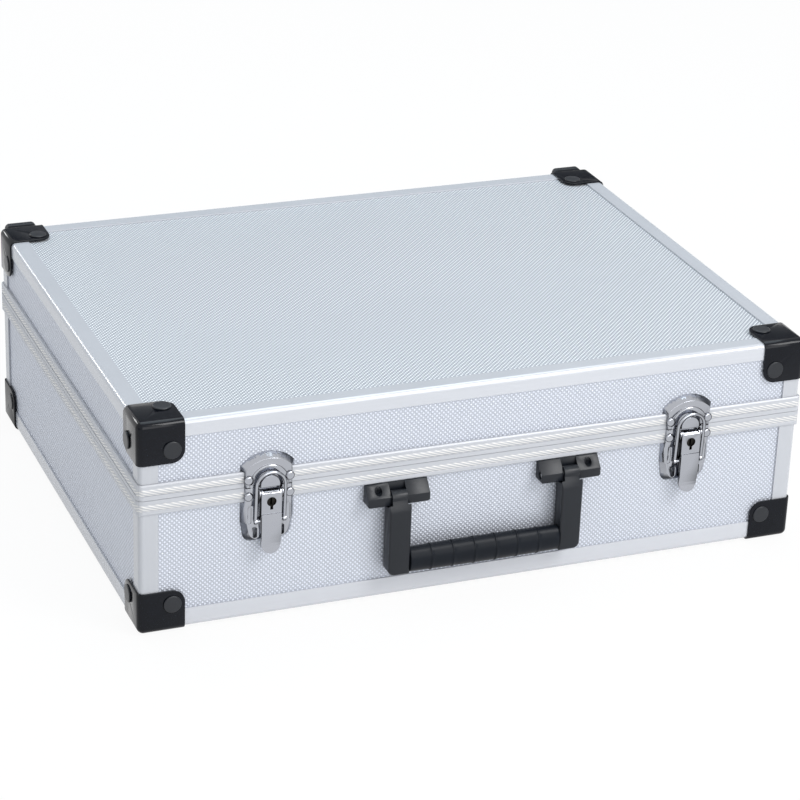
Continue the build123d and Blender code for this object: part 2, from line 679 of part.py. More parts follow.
def bracket_screws():
    """Outer screw from the front and inner screw from behind, left bracket."""
    (outer_x, outer_z), (inner_x, inner_z) = screw_places()
    outer = rod_y(outer_x, outer_z, front(1.6), front(3.0), 2.2)
    outer = chamfer(outer.edges().group_by(Axis.Y)[0], 0.3)
    outer -= front_slab(Pos(outer_x, outer_z) * Rectangle(2.6, 0.7), 2.2, 5)
    outer -= front_slab(Pos(outer_x, outer_z) * Rectangle(0.7, 2.6), 2.2, 5)
    outer += rod_y(outer_x, outer_z, front(-8), front(1.6), 1.25)
    inner = rod_y(inner_x, inner_z, front(-8), front(-PANEL_IN - 1.2), 2.2)
    inner += rod_y(inner_x, inner_z, front(-7.5), front(3.4), 1.25)
    return [outer, inner]


def backing_plate():
    """Steel strip inside the front wall behind one bracket, tapped for both screws."""
    x0 = -BRACKET_X - BRACKET_HALF
    x1 = -BRACKET_X + BRACKET_HALF
    low = BOTTOM_Z + BRACKET_BOTTOM_Z + 4
    plate = block(x0, front(-PANEL_IN), low, x1, front(-PANEL_IN - 1.2), low + 9)
    for x, z in screw_places():
        plate -= rod_y(x, z, front(-10), front(0), 1.3)
    return plate


def handle_frame():
    """Both arms joined by a flat core bar that the grip sleeve covers."""
    base = BOTTOM_Z
    y = front(HANDLE_PIVOT_OUT)
    z = base + HANDLE_PIVOT_Z
    side = [(ARM_BACK, base + ARM_BOTTOM_Z), (ARM_FRONT, base + ARM_BOTTOM_Z)]
    side += [(ARM_FRONT, z - 8), (9.3, z - 0.4), (HANDLE_PIVOT_OUT, z), (ARM_BACK, z - 5)]
    arm = side_slab(side, -BRACKET_X - ARM_HALF, -BRACKET_X + ARM_HALF)
    corner = arm.edges().filter_by(Axis.Y).group_by(Axis.Z)[0].sort_by(Axis.X)[0]
    arm = fillet(corner, 4)
    arm = chamfer(arm.faces().sort_by(Axis.Y)[0].edges(), 0.8)
    keep = rod_x(y, z, -BRACKET_X - HUB_HALF, -BRACKET_X + HUB_HALF, HUB_RADIUS)
    clear = rod_x(y, z, -BRACKET_X - 10, -BRACKET_X + 10, ARM_CLEAR)
    neck = arm & block(-BRACKET_X - HUB_HALF, front(20), 0, -BRACKET_X + HUB_HALF, front(-5), TOP_Z)
    arm = (arm - clear) + neck + keep
    arm -= rod_x(y, z, -100, 0, HANDLE_PIN + PIN_FIT)
    core = block(-BRACKET_X, front(GRIP_OUT + 2.5), base + GRIP_Z - 5,
                 BRACKET_X, front(GRIP_OUT - 2.5), base + GRIP_Z + 5)
    return arm + mirrored_x(arm) + core


def grip_section(height, thick):
    return Ellipse(thick / 2, height / 2)


def grip_sleeve():
    """Barrel-shaped sleeve with thin raised rings."""
    centre = Pos(0, front(GRIP_OUT), BOTTOM_Z + GRIP_Z)
    faces = []
    for x, shrink in ((-GRIP_HALF, 1.0), (0, 0), (GRIP_HALF, 1.0)):
        plane = Plane(origin=(x, 0, 0), x_dir=(0, -1, 0), z_dir=(1, 0, 0))
        faces.append(plane * grip_section(GRIP_HEIGHT - shrink, GRIP_THICK - shrink))
    sleeve = loft(faces)
    for x in (7.2, 21.6, 36):
        for side in (-1, 1):
            drop = (x / GRIP_HALF) ** 2
            plane = Plane(origin=(side * x - 0.5, 0, 0), x_dir=(0, -1, 0), z_dir=(1, 0, 0))
            height = GRIP_HEIGHT - drop + 2 * GRIP_RING
            thick = GRIP_THICK - drop + 2 * GRIP_RING
            sleeve += extrude(plane * grip_section(height, thick), amount=1)
    sleeve -= Box(2 * GRIP_HALF + 10, 5.1, 10.1)
    return centre * sleeve


def handle_pin():
    x0 = -BRACKET_X - BRACKET_HALF + 2
    x1 = -BRACKET_X + BRACKET_HALF - 1
    return rod_x(front(HANDLE_PIVOT_OUT), BOTTOM_Z + HANDLE_PIVOT_Z, x0, x1, HANDLE_PIN)


# Rear hinges, drawn at X = 0 on the back wall
def hinge_leaf(up):
    """Leaf and knuckles; up = 1 is the lid leaf with the middle knuckle."""
    y0 = HALF_DEPTH + RAIL_PROUD + 0.05
    y1 = y0 + LEAF
    clear = KNUCKLE + 0.4
    leaf = block(-HINGE_HALF, y0, MOUTH_Z + up * clear, HINGE_HALF, y1, MOUTH_Z + up * (RAIL_HEIGHT - 0.4))
    spans = [(-KNUCKLE_HALF + 0.15, KNUCKLE_HALF - 0.15)]
    if up < 0:
        spans = [(-HINGE_HALF, -KNUCKLE_HALF - 0.15), (KNUCKLE_HALF + 0.15, HINGE_HALF)]
    for x0, x1 in spans:
        leaf += block(x0, y0, MOUTH_Z + up * 0.3, x1, y1, MOUTH_Z + up * (clear + 1))
        leaf += rod_x(HINGE_Y, MOUTH_Z, x0, x1, KNUCKLE)
    leaf -= rod_x(HINGE_Y, MOUTH_Z, -50, 50, HINGE_PIN + (PIN_FIT if up > 0 else 0.02))
    for x in (-HINGE_RIVET_X, HINGE_RIVET_X):
        leaf -= rod_y(x, MOUTH_Z + up * HINGE_RIVET_Z, y0 - 1, y1 + 1, 1.6)
    return leaf


def hinge_rivet(x, up):
    """Low round-headed rivet through leaf, rail and panel."""
    z = MOUTH_Z + up * HINGE_RIVET_Z
    seat = HALF_DEPTH + RAIL_PROUD + 0.05 + LEAF
    head = rod_y(x, z, seat, seat + 1.0, 2.7)
    head = fillet(head.edges().group_by(Axis.Y)[-1], 0.7)
    shank = rod_y(x, z, HALF_DEPTH - LIP_IN, seat, 1.5)
    tail = rod_y(x, z, HALF_DEPTH - LIP_IN - 0.7, HALF_DEPTH - LIP_IN, 2.1)
    return head + shank + tail


# Lid stays, drawn on the left side
def stay_arm():
    """Flat arm with a round slot; it keeps its slope while the lid swings."""
    swing = math.hypot(STAY_LID_IN, STAY_LID_UP)
    start = 180 + math.degrees(math.atan2(STAY_LID_UP, STAY_LID_IN))
    centre = (STAY_BASE_IN, -STAY_BASE_DOWN)

    def on_arc(angle):
        turn = math.radians(start + angle)
        return (centre[0] + swing * math.cos(turn), centre[1] + swing * math.sin(turn))

    arc = ThreePointArc(on_arc(0), on_arc(LID_ANGLE / 2), on_arc(LID_ANGLE))
    body = SlotArc(arc, 15)
    first = on_arc(0)
    length = math.hypot(first[0], first[1])
    slope = math.degrees(math.atan2(first[1], first[0]))
    body += Pos(first[0] / 2, first[1] / 2) * SlotCenterToCenter(length, 13, rotation=slope)
    body -= SlotArc(arc, 2 * (STAY_STUD + STAY_SLOT_FIT))
    body -= Circle(STAY_STUD + PIN_FIT)
    origin = (-STAY_X - STAY_SHEET / 2, HINGE_Y - STAY_LID_IN, MOUTH_Z + STAY_LID_UP)
    plane = Plane(origin=origin, x_dir=(0, -1, 0), z_dir=(-1, 0, 0))
    return extrude(plane * body, amount=-STAY_SHEET)


def stay_stud(y, z):
    """Flanged stud on the inner face of the left wall, its head inboard of the arm."""
    wall = -HALF_LENGTH + PANEL_IN
    lining = -HALF_LENGTH + WALL_LINING_IN
    head = -STAY_X + STAY_SHEET / 2 + 0.2
    stud = rod_x(y, z, wall, lining - 0.2, 8)
    stud += rod_x(y, z, wall, head, STAY_STUD)
    stud += rod_x(y, z, head, head + 1.2, STAY_STUD + 1.8)
    return stud


def stud_places():
    lid = (HINGE_Y - STAY_LID_IN, MOUTH_Z + STAY_LID_UP)
    base = (HINGE_Y - STAY_BASE_IN, MOUTH_Z - STAY_BASE_DOWN)
    return lid, base


# Cutting fastener holes through walls
def bore_front(shape, places):
    for x, z, radius in places:
        shape -= rod_y(x, z, front(5), front(-14), radius)
    return shape


def bore_back(shape, places):
    for x, z, radius in places:
        shape -= rod_y(x, z, HALF_DEPTH - 14, HALF_DEPTH + 5, radius)
    return shape


def bore_corners(panels, face, up):
    """Protector rivet holes through the four walls and the top (up = 1) or bottom panel."""
    radius = SHANK_RADIUS + SHANK_FIT
    x = HALF_LENGTH + PROTECTOR - FLAP_RIVET_IN
    y = HALF_DEPTH + PROTECTOR - FLAP_RIVET_IN
    z = BOTTOM_Z - PROTECTOR + FLAP_RIVET_DOWN
    if up > 0:
        z = TOP_Z + PROTECTOR - FLAP_RIVET_DOWN
    for sx in (-1, 1):
        panels["front"] -= rod_y(sx * x, z, front(0), front(-10), radius)
        panels["back"] -= rod_y(sx * x, z, HALF_DEPTH - 10, HALF_DEPTH, radius)
    for sy in (-1, 1):
        panels["left"] -= rod_x(sy * y, z, -HALF_LENGTH, -HALF_LENGTH + 10, radius)
        panels["right"] -= rod_x(sy * y, z, HALF_LENGTH - 10, HALF_LENGTH, radius)
        for sx in (-1, 1):
            face -= Pos(sx * x, sy * y, MIDDLE_Z) * Cylinder(radius, CASE_HEIGHT + 4)
    return face


def build():
    nodes = {}
    envelope = rounded_box(0, EDGE_RADIUS)
    proud = Pos(0, 0, MIDDLE_Z) * Box(
        CASE_LENGTH + 2 * RAIL_PROUD, CASE_DEPTH + 2 * RAIL_PROUD, CASE_HEIGHT
    )
    proud = fillet(proud.edges().filter_by(Axis.Z), EDGE_RADIUS + RAIL_PROUD)

    # Edge profiles and closing rails
    lower = frame(edge_section(BOTTOM_Z, 1, BASE_LEG_WIDTH), envelope)
    upper = frame(edge_section(TOP_Z, -1, LID_LEG_WIDTH), envelope)
    nodes["base_bottom_profiles"] = group(lower)
    nodes["lid_top_profiles"] = group(upper)
    base_posts = corner_posts(BOTTOM_Z + BASE_LEG_WIDTH + JOINT_GAP,
                              MOUTH_Z - RAIL_HEIGHT - JOINT_GAP, envelope)
    lid_posts = corner_posts(MOUTH_Z + RAIL_HEIGHT + JOINT_GAP,
                             TOP_Z - LID_LEG_WIDTH - JOINT_GAP, envelope)
    nodes["base_corner_profiles"] = group(base_posts)
    nodes["lid_corner_profiles"] = group(lid_posts)
    tongue_end = LIP_IN + 0.6 + TONGUE_FIT + TONGUE_WIDTH
    base_rails = frame(rail_section(-1, tongue_end, True), proud)
    lid_rails = frame(rail_section(1, LIP_IN + 0.6, False), proud)

    # Fastener places on the front and back walls: x, z, hole radius
    lid_latch = []
    base_latch = []
    lid_hinge = []
    base_hinge = []
    for middle in (-LATCH_X, LATCH_X):
        for side in (-1, 1):
            lid_latch.append((middle + side * LATCH_RIVET_X, MOUTH_Z + LATCH_RIVET_UP, 1.6))
            base_latch.append((middle + side * LATCH_RIVET_X, MOUTH_Z - LATCH_RIVET_DOWN, 1.6))
    for middle in (-HINGE_X, HINGE_X):
        for x in (middle - HINGE_RIVET_X, middle + HINGE_RIVET_X):
            lid_hinge.append((x, MOUTH_Z + HINGE_RIVET_Z, 1.6))
            base_hinge.append((x, MOUTH_Z - HINGE_RIVET_Z, 1.6))
    screws = [(side * x, z, 1.6) for x, z in screw_places() for side in (-1, 1)]

    lid_rails[0] = bore_front(lid_rails[0], lid_latch)
    lid_rails[1] = bore_back(lid_rails[1], lid_hinge)
    base_rails[0] = bore_front(base_rails[0], base_latch)
    base_rails[1] = bore_back(base_rails[1], base_hinge)
    nodes["base_closing_rails"] = group(base_rails)
    nodes["lid_closing_rails"] = group(lid_rails)

    # Panels
    base_walls = wall_panels(BOTTOM_Z + LIP_IN + PANEL_END_FIT, MOUTH_Z - RAIL_WEB - PANEL_END_FIT)
    lid_walls = wall_panels(MOUTH_Z + RAIL_WEB + PANEL_END_FIT, TOP_Z - LIP_IN - PANEL_END_FIT)
    bottom = bore_corners(base_walls, face_panel(BOTTOM_Z, 1), -1)
    top = bore_corners(lid_walls, face_panel(TOP_Z, -1), 1)
    base_walls["front"] = bore_front(base_walls["front"], base_latch + screws)
    base_walls["back"] = bore_back(base_walls["back"], base_hinge)
    lid_walls["front"] = bore_front(lid_walls["front"], lid_latch)
    lid_walls["back"] = bore_back(lid_walls["back"], lid_hinge)
    for name, shape in base_walls.items():
        nodes["base_" + name + "_panel"] = shape
    for name, shape in lid_walls.items():
        nodes["lid_" + name + "_panel"] = shape
    nodes["base_bottom_panel"] = bottom
    nodes["lid_top_panel"] = top

    # Lining, with clearance round the stay studs
    lid_stud, base_stud = stud_places()
    base_lining = wall_linings(BOTTOM_Z + FLOOR_LINING_IN + LINING + 0.1, MOUTH_Z - 1.2)
    lid_lining = wall_linings(MOUTH_Z + TONGUE_HEIGHT + 0.4, TOP_Z - FLOOR_LINING_IN - LINING - 0.1)
    base_hole = rod_x(*base_stud, -HALF_LENGTH - 10, HALF_LENGTH + 10, STAY_STUD + 0.5)
    lid_hole = rod_x(*lid_stud, -HALF_LENGTH - 10, HALF_LENGTH + 10, STAY_STUD + 0.5)
    nodes["base_wall_linings"] = group(base_lining[:2] + [one - base_hole for one in base_lining[2:]])
    nodes["lid_wall_linings"] = group(lid_lining[:2] + [one - lid_hole for one in lid_lining[2:]])
    nodes["base_floor_lining"] = face_lining(BOTTOM_Z, 1)
    nodes["lid_top_lining"] = face_lining(TOP_Z, -1)

    # Protectors, rivets and stand feet
    shell = protector_shell()
    protectors = corner_copies(lower_front_left_protector(shell))
    corners = ("front_left", "front_right", "rear_left", "rear_right")
    for name, shape in zip(corners, protectors):
        nodes["base_" + name + "_protector"] = shape
        nodes["lid_" + name + "_protector"] = mirrored_z(shape)
    places = flap_rivet_places()
    round_one = [place * disc_rivet() for place in places]
    front_rivets = round_one + [mirrored_x(one) for one in round_one]
    back_left = [mirrored_y(one) for one in round_one[1:]] + [mirrored_y(places[0] * foot_rivet())]
    back_rivets = back_left + [mirrored_x(one) for one in back_left]
    nodes["base_protector_rivets"] = group(front_rivets + back_rivets)
    nodes["lid_protector_rivets"] = group([mirrored_z(one) for one in front_rivets + back_rivets])
    feet = both_sides(stand_foot())
    nodes["base_stand_feet"] = group(feet)
    nodes["lid_stand_feet"] = group([mirrored_z(one) for one in feet])

    # Latches
    strike_rivets = []
    plate_rivets = []
    lever_pins = []
    for side, middle in (("left", -LATCH_X), ("right", LATCH_X)):
        place = Pos(middle, 0, 0)
        nodes[side + "_strike_plate"] = place * strike_plate()
        nodes[side + "_latch_plate"] = place * latch_base_plate()
        nodes[side + "_latch_lever"] = place * lever()
        nodes[side + "_latch_bail"] = place * bail()
        nodes[side + "_lock_barrel"] = place * lock_barrel()
        lever_pins.append(place * rod_x(*lever_pivot(), -EAR_INNER - EAR, EAR_INNER + EAR, LEVER_PIN))
        for offset in (-LATCH_RIVET_X, LATCH_RIVET_X):
            strike_rivets.append(Pos(middle + offset, 0, 0) * latch_rivet(MOUTH_Z + LATCH_RIVET_UP))
            plate_rivets.append(Pos(middle + offset, 0, 0) * latch_rivet(MOUTH_Z - LATCH_RIVET_DOWN))
    nodes["latch_lever_pins"] = group(lever_pins)

    # Handle
    left_bracket = bracket()
    nodes["left_handle_bracket"] = left_bracket
    nodes["right_handle_bracket"] = mirrored_x(left_bracket)
    screws_left = bracket_screws()
    nodes["handle_bracket_screws"] = group(screws_left + [mirrored_x(one) for one in screws_left])
    nodes["handle_backing_plates"] = group(both_sides(backing_plate()))
    nodes["handle_pins"] = group(both_sides(handle_pin()))
    nodes["handle_frame"] = handle_frame()
    nodes["handle_grip"] = grip_sleeve()

    # Hinges
    base_leaves = []
    lid_leaves = []
    pins = []
    base_hinge_rivets = []
    lid_hinge_rivets = []
    for middle in (-HINGE_X, HINGE_X):
        place = Pos(middle, 0, 0)
        base_leaves.append(place * hinge_leaf(-1))
        lid_leaves.append(place * hinge_leaf(1))
        pins.append(place * rod_x(HINGE_Y, MOUTH_Z, -HINGE_HALF, HINGE_HALF, HINGE_PIN))
        for x in (-HINGE_RIVET_X, HINGE_RIVET_X):
            base_hinge_rivets.append(place * hinge_rivet(x, -1))
            lid_hinge_rivets.append(place * hinge_rivet(x, 1))
    nodes["base_hinge_leaves"] = group(base_leaves)
    nodes["lid_hinge_leaves"] = group(lid_leaves)
    nodes["hinge_pins"] = group(pins)
    nodes["base_round_rivets"] = group(plate_rivets + base_hinge_rivets)
    nodes["lid_round_rivets"] = group(strike_rivets + lid_hinge_rivets)

    # Lid stays
    left_arm = stay_arm()
    nodes["left_stay_arm"] = left_arm
    nodes["right_stay_arm"] = mirrored_x(left_arm)
    nodes["lid_stay_studs"] = group(both_sides(stay_stud(*lid_stud)))
    nodes["base_stay_studs"] = group(both_sides(stay_stud(*base_stud)))
    return nodes


os.makedirs("parts", exist_ok=True)
centred = Location((0, CENTRE_SHIFT, 0))
for node_name, node_shape in build().items():
    moved = [solid.moved(centred) for solid in node_shape.solids()]
    export_step(moved[0] if len(moved) == 1 else Compound(moved), "parts/" + node_name + ".step")
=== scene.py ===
import json
import math

import bpy
from mathutils import Matrix, Vector


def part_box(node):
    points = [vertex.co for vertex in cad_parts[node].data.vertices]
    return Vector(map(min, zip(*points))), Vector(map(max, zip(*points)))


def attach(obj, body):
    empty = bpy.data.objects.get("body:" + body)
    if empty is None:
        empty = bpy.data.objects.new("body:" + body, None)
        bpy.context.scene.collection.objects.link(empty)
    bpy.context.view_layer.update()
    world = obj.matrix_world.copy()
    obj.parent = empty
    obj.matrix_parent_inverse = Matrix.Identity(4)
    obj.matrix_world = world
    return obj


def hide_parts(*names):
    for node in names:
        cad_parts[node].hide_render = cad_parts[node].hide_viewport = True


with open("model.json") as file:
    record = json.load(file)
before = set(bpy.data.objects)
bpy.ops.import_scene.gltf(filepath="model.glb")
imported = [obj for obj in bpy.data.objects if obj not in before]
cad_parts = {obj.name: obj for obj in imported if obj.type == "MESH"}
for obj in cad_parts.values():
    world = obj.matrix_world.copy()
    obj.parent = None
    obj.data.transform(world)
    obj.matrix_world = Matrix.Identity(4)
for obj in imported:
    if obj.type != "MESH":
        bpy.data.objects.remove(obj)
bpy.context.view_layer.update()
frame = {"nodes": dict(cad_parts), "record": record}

bl_info = {
    "name": "Aluminium tool case",
    "version": (1, 0, 0),
    "blender": (4, 5, 0),
    "location": "View3D > Sidebar > Tool case",
    "description": "Dresses the frame of an aluminium tool case and sets up its studio",
    "category": "Object",
}

MM = 0.001

# Embossed sheet: dots painted lighter as a painted highlight and gaps painted darker as painted shade,
# stronger on the top and bottom faces
WALL_PAINTED_CONTRAST = 0.17
FACE_PAINTED_CONTRAST = 0.35
DOT_PAINTED_HIGHLIGHT_GAIN = 2.1
DOT_EDGE = 0.25

# Closing rails, in mm
RAIL_CLEARANCE = 0.15
RIB_SLANT = 2.7
RIB_BAND_START = 3.1
RIB_BAND_END = 7.0
RIB_BAND_FADE = 0.2
RIB_DEPTH = 0.07
# Colour of the rib crests, a painted highlight
RIB_PAINTED_HIGHLIGHT = (0.76, 0.745, 0.72, 1.0)

# Roundings of single pieces in metres, and what counts as one point, as flat and as sharp
RIVET_ROUNDING = 0.0002
LEVER_ROUNDING = 0.0003
BAIL_ROUNDING = 0.0002
BRACKET_ROUNDING = 0.0005
HANDLE_ROUNDING = 0.0009
HANDLE_SEGMENTS = 3
GRIP_ROUNDING = 0.0002
WELD_DISTANCE = 2e-6
FLAT_DEGREES = 0.5
SHARP_DEGREES = 30.0

# Names and axes in the frame
SIDES = ("left", "right")
CORNERS = ("front_left", "front_right", "rear_left", "rear_right")
HALVES = ("base", "lid")
X, Y, Z = range(3)
WALL_AXES = {
    "front": (X, Z), "back": (X, Z), "left": (Y, Z), "right": (Y, Z), "bottom": (X, Y), "top": (X, Y)}


# Values that vary over a surface
class Number:
    """A number that varies over a surface; arithmetic on it adds Math nodes."""

    def __init__(self, finish, socket):
        self.finish = finish
        self.socket = socket

    def math(self, operation, *others):
        sockets = dict(enumerate((self, *others)))
        made = self.finish.node("ShaderNodeMath", {"operation": operation}, sockets)
        return Number(self.finish, made.outputs[0])

    def reflected(self, operation, other):
        made = self.finish.node("ShaderNodeMath", {"operation": operation}, {0: other, 1: self})
        return Number(self.finish, made.outputs[0])

    def __add__(self, other):
        return self.math("ADD", other)

    def __radd__(self, other):
        return self.reflected("ADD", other)

    def __sub__(self, other):
        return self.math("SUBTRACT", other)

    def __rsub__(self, other):
        return self.reflected("SUBTRACT", other)

    def __mul__(self, other):
        return self.math("MULTIPLY", other)

    def __rmul__(self, other):
        return self.reflected("MULTIPLY", other)

    def cosine(self):
        return self.math("COSINE")

    def absolute(self):
        return self.math("ABSOLUTE")

    def most(self, other):
        return self.math("MAXIMUM", other)

    def step(self, low, high):
        """0 below low, 1 above high, smooth between."""
        sockets = {0: self, 1: low, 2: high, 3: 0.0, 4: 1.0}
        settings = {"interpolation_type": "SMOOTHSTEP"}
        made = self.finish.node("ShaderNodeMapRange", settings, sockets)
        return Number(self.finish, made.outputs[0])


class Finish:
    """One node material."""

    def __init__(self, name):
        self.material = bpy.data.materials.new(name)
        self.material.use_nodes = True
        self.tree = self.material.node_tree
        self.shader = self.tree.nodes["Principled BSDF"]

    def connect(self, socket, value):
        """Links a socket to a value that varies, or sets it to one that doesn't."""
        if isinstance(value, Number):
            self.tree.links.new(value.socket, socket)
        elif isinstance(value, bpy.types.NodeSocket):
            self.tree.links.new(value, socket)
        else:
            socket.default_value = value

    def node(self, kind, settings, sockets):
        made = self.tree.nodes.new(kind)
        for key, value in settings.items():
            setattr(made, key, value)
        for key, value in sockets.items():
            self.connect(made.inputs[key], value)
        return made

    def place(self):
        """The three Object coordinates in millimetres."""
        coordinates = self.node("ShaderNodeTexCoord", {}, {})
        split = self.node("ShaderNodeSeparateXYZ", {}, {0: coordinates.outputs["Object"]})
        return [Number(self, split.outputs[axis]) * (1 / MM) for axis in (X, Y, Z)]

    def noise(self, scale, detail=2.0, stretch=(1.0, 1.0, 1.0)):
        """Noise from 0 to 1, scale in cells per metre; a low stretch factor draws it out on its axis."""
        coordinates = self.node("ShaderNodeTexCoord", {}, {})
        mapping = self.node("ShaderNodeMapping", {}, {0: coordinates.outputs["Object"], 3: stretch})
        sockets = {"Vector": mapping.outputs[0], "Scale": scale, "Detail": detail}
        return Number(self, self.node("ShaderNodeTexNoise", {}, sockets).outputs[0])

    def blend(self, mask, first, second):
        """Colour that goes from first to second with the mask."""
        sockets = {0: mask, 6: first, 7: second}
        made = self.node("ShaderNodeMix", {"data_type": "RGBA"}, sockets)
        return made.outputs[2]

    def bump(self, height, depth_mm):
        """Normal of a surface raised by the height, from 0 to 1, times the depth."""
        sockets = {"Strength": 1.0, "Distance": depth_mm * MM, "Height": height}
        return self.node("ShaderNodeBump", {}, sockets).outputs[0]

    def facing(self, low, high):
        """0 where the surface faces the eye, 1 where it turns away."""
        made = self.node("ShaderNodeLayerWeight", {}, {"Blend": 0.5})
        return Number(self, made.outputs["Facing"]).step(low, high)

    def show(self, shader):
        """Sends this shader to the material's output."""
        self.connect(self.tree.nodes["Material Output"].inputs["Surface"], shader.outputs[0])

    def surface(self, **values):
        """Sets the inputs of the material's shader, named with _ for each space."""
        for key, value in values.items():
            self.connect(self.shader.inputs[key.replace("_", " ")], value)
        return self.material


def rgb(colour, gain=1.0):
    return (min(1.0, colour[0] * gain), min(1.0, colour[1] * gain), min(1.0, colour[2] * gain), 1.0)


# Sizes and colours that a user would change
class CaseSettings(bpy.types.PropertyGroup):
    """Sizes and colours of the tool case."""

    dot_pitch: bpy.props.FloatProperty(
        name="Dot pitch", description="Distance between dots of one row, in mm",
        default=2.976, min=1.0)
    dot_depth: bpy.props.FloatProperty(
        name="Dot depth", description="Height of the embossed dots, in mm", default=0.3, min=0.0)
    rib_pitch: bpy.props.FloatProperty(
        name="Rib pitch", description="Distance between ribs of the closing rails, in mm",
        default=4.76, min=0.5)
    edge: bpy.props.FloatProperty(
        name="Edge rounding", description="Rounding of pressed and moulded edges",
        default=0.00035, min=0.0, subtype="DISTANCE")
    panel_colour: bpy.props.FloatVectorProperty(
        name="Panel colour", description="Colour of the embossed panels",
        default=(0.56, 0.585, 0.65), subtype="COLOR")
    profile_colour: bpy.props.FloatVectorProperty(
        name="Profile colour", description="Colour of the satin profiles",
        default=(0.58, 0.592, 0.625), subtype="COLOR")
    chrome_colour: bpy.props.FloatVectorProperty(
        name="Chrome colour", description="Colour of the bright plating",
        default=(0.43, 0.445, 0.485), subtype="COLOR")
    plastic_colour: bpy.props.FloatVectorProperty(
        name="Plastic colour", description="Colour of the handle",
        default=(0.007, 0.009, 0.013), subtype="COLOR")
    protector_colour: bpy.props.FloatVectorProperty(
        name="Protector colour", description="Colour of the corner protectors",
        default=(0.004, 0.005, 0.008), subtype="COLOR")
    lining_colour: bpy.props.FloatVectorProperty(
        name="Lining colour", description="Colour of the lining",
        default=(0.03, 0.031, 0.034), subtype="COLOR")


def settings():
    return bpy.context.scene.tool_case


# Finishes
def dotted_sheet(name, across, along, painted_contrast):
    """Satin sheet with rows of small embossed dots, staggered by half a pitch; the dots are painted lighter
    as a painted highlight and the gaps darker as painted shade.
    """
    finish = Finish(name)
    place = finish.place()
    turn = 2 * math.pi / settings().dot_pitch
    waves = ((place[across] * turn).cosine() + (place[along] * turn).cosine()) * 0.5
    dot = waves.absolute().step(DOT_EDGE, 1.0)
    cloud = finish.noise(scale=9.0, detail=3.0)
    speck = finish.noise(scale=900.0, detail=1.0)
    colour = settings().panel_colour
    # Gaps darkened as painted shade, with a random cloudy tone
    low = finish.blend(cloud, rgb(colour, 1.0 - painted_contrast), rgb(colour, 1.06 - painted_contrast))
    # Dots lightened as a painted highlight
    painted = finish.blend(dot, low, rgb(colour, 1.0 + DOT_PAINTED_HIGHLIGHT_GAIN * painted_contrast))
    return finish.surface(
        Base_Color=painted, Metallic=0.35, Roughness=0.40 + 0.12 * speck,
        Normal=finish.bump(dot, settings().dot_depth))


def satin_profile(name, stretch, gain):
    """Smooth anodised extrusion with faint lines along its run; a gain below 1 darkens the whole colour as
    painted shade.
    """
    finish = Finish(name)
    line = finish.noise(scale=700.0, detail=2.0, stretch=stretch)
    cloud = finish.noise(scale=7.0, detail=2.0)
    colour = settings().profile_colour
    # The gain scales the colour; below 1 it is painted shade
    painted = finish.blend(line * 0.5 + cloud * 0.5, rgb(colour, 0.94 * gain), rgb(colour, 1.06 * gain))
    return finish.surface(
        Base_Color=painted, Metallic=0.18, Specular_IOR_Level=0.3, Roughness=0.18 + 0.06 * line,
        Normal=finish.bump(line, depth_mm=0.01))


def ribbed_rail(name, along, parting, sign):
    """Satin rail whose middle band carries slanting ribs, each parted in two strands; the rib crests are
    painted light as a painted highlight and the troughs darker as painted shade.
    """
    finish = Finish(name)
    place = finish.place()
    height = (place[Z] - parting) * sign
    start = height.step(RIB_BAND_START - RIB_BAND_FADE, RIB_BAND_START + RIB_BAND_FADE)
    end = height.step(RIB_BAND_END - RIB_BAND_FADE, RIB_BAND_END + RIB_BAND_FADE)
    band = start * (1.0 - end)
    turn = 2 * math.pi / settings().rib_pitch
    run = place[along] + place[Z] * RIB_SLANT
    ribs = (run * turn).cosine() * 0.5 + 0.5
    strand = (run * (turn * 2)).cosine() * 0.5 + 0.5
    line = finish.noise(scale=700.0, detail=2.0, stretch=(0.03, 0.03, 1.0))
    colour = settings().profile_colour
    plain = finish.blend(line, rgb(colour, 0.83), rgb(colour, 0.93))
    twist = ribs * 0.7 + strand * 0.3
    # Rib crests painted light as a painted highlight, troughs painted darker as painted shade
    ribbed = finish.blend(twist.step(0.1, 0.9), rgb(colour, 0.80), RIB_PAINTED_HIGHLIGHT)
    painted = finish.blend(band, plain, ribbed)
    return finish.surface(
        Base_Color=painted, Metallic=0.25, Specular_IOR_Level=0.3, Roughness=0.42 + 0.08 * line,
        Normal=finish.bump(twist * band + line * 0.02, RIB_DEPTH))


def bright_plate():
    """Bright plating, painted darker as a painted dark reflection where it turns away and painted light again
    as a painted highlight at its grazing edge.
    """
    finish = Finish("bright_plate")
    cloud = finish.noise(scale=60.0, detail=3.0)
    wave = finish.noise(scale=140.0, detail=2.0)
    colour = settings().chrome_colour
    plated = finish.blend(cloud, rgb(colour, 0.96), rgb(colour, 1.05))
    # Painted dark reflection: colour falls to 0.12 of the plating where the surface turns away
    painted_dark_edge_plate = finish.blend(finish.facing(low=0.18, high=0.50), plated, rgb(colour, 0.12))
    # Painted highlight at the grazing edge: colour lifted to 1.3 of the plating
    painted_rim_highlight = finish.facing(low=0.72, high=0.9)
    return finish.surface(
        Base_Color=finish.blend(painted_rim_highlight, painted_dark_edge_plate, rgb(colour, 1.3)),
        Metallic=1.0, Roughness=0.09 + 0.07 * cloud, Normal=finish.bump(wave, depth_mm=0.05))


def black_lacquer():
    """Glossy black lacquer with a faint orange peel."""
    finish = Finish("black_lacquer")
    orange_peel = finish.noise(scale=260.0, detail=2.0)
    colour = settings().protector_colour
    return finish.surface(
        Base_Color=finish.blend(orange_peel, rgb(colour, 0.8), rgb(colour, 1.3)), Specular_IOR_Level=0.19,
        Roughness=0.09 + 0.08 * orange_peel, Normal=finish.bump(orange_peel, depth_mm=0.02))


